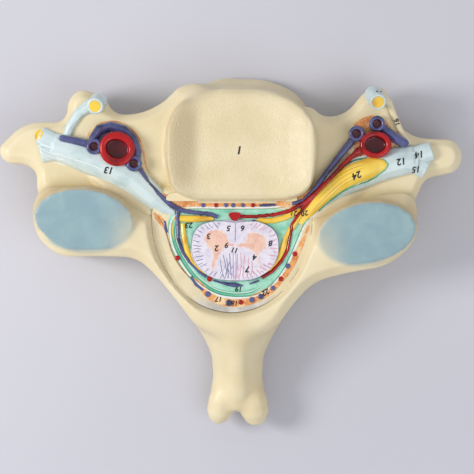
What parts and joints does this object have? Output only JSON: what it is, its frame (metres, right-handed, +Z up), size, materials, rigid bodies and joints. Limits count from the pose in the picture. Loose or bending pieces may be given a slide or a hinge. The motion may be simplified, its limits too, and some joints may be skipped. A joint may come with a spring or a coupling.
{
  "type": "spine anatomy model",
  "caption": "Enlarged teaching model of a neck vertebra lying flat, with the spinal cord, its sheaths, the spinal nerves and the vertebral vessels set into the bone in relief.",
  "frame": {"origin": "centre of the part's bounding box on the table that it lies on", "axes": "+Z up off the table, +Y to the front of the vertebral body, -Y to the spinous process, X across the vertebra"},
  "size_m": [0.3976, 0.3039, 0.092],
  "materials": {
    "bone": "satin cast plastic, cream",
    "artery": "gloss paint, red",
    "vein": "gloss paint, indigo",
    "nerve": "gloss paint, pale cyan white",
    "yellow": "gloss paint, yellow",
    "sleeve": "gloss paint, green",
    "fat": "satin paint, orange",
    "dura": "satin paint, green",
    "arachnoid": "satin paint, mint",
    "bed": "satin paint, pale grey",
    "cord": "satin paint, lavender white",
    "grey_matter": "satin paint, salmon"
  },
  "bodies": {
    "root": {"vertebra": "bone", "canal_bed": "bed", "posterior_epidural_fat": "fat", "anterior_epidural_fat": "fat", "dura_sheath": "dura", "arachnoid_bed": "arachnoid", "spinal_cord": "cord", "grey_matter": "grey_matter", "left_ventral_root": "yellow", "left_dorsal_root": "yellow", "right_ventral_root": "yellow", "right_dorsal_root": "yellow", "anterior_spinal_artery": "artery", "posterior_spinal_artery": "artery", "spinal_veins": "vein", "epidural_arteries": "artery", "epidural_veins": "vein", "left_vertebral_artery": "artery", "right_vertebral_artery": "artery", "left_vertebral_vein": "vein", "right_inner_vein": "vein", "right_outer_vein": "vein", "left_spinal_nerve": "nerve", "right_spinal_nerve": "nerve", "left_anterior_branch": "nerve", "right_anterior_branch": "nerve", "nerve_cut_faces": "yellow", "right_ganglion": "yellow", "right_ganglion_sleeve": "sleeve", "left_foraminal_fat": "fat", "right_foraminal_fat": "fat"}
  },
  "joints": []
}
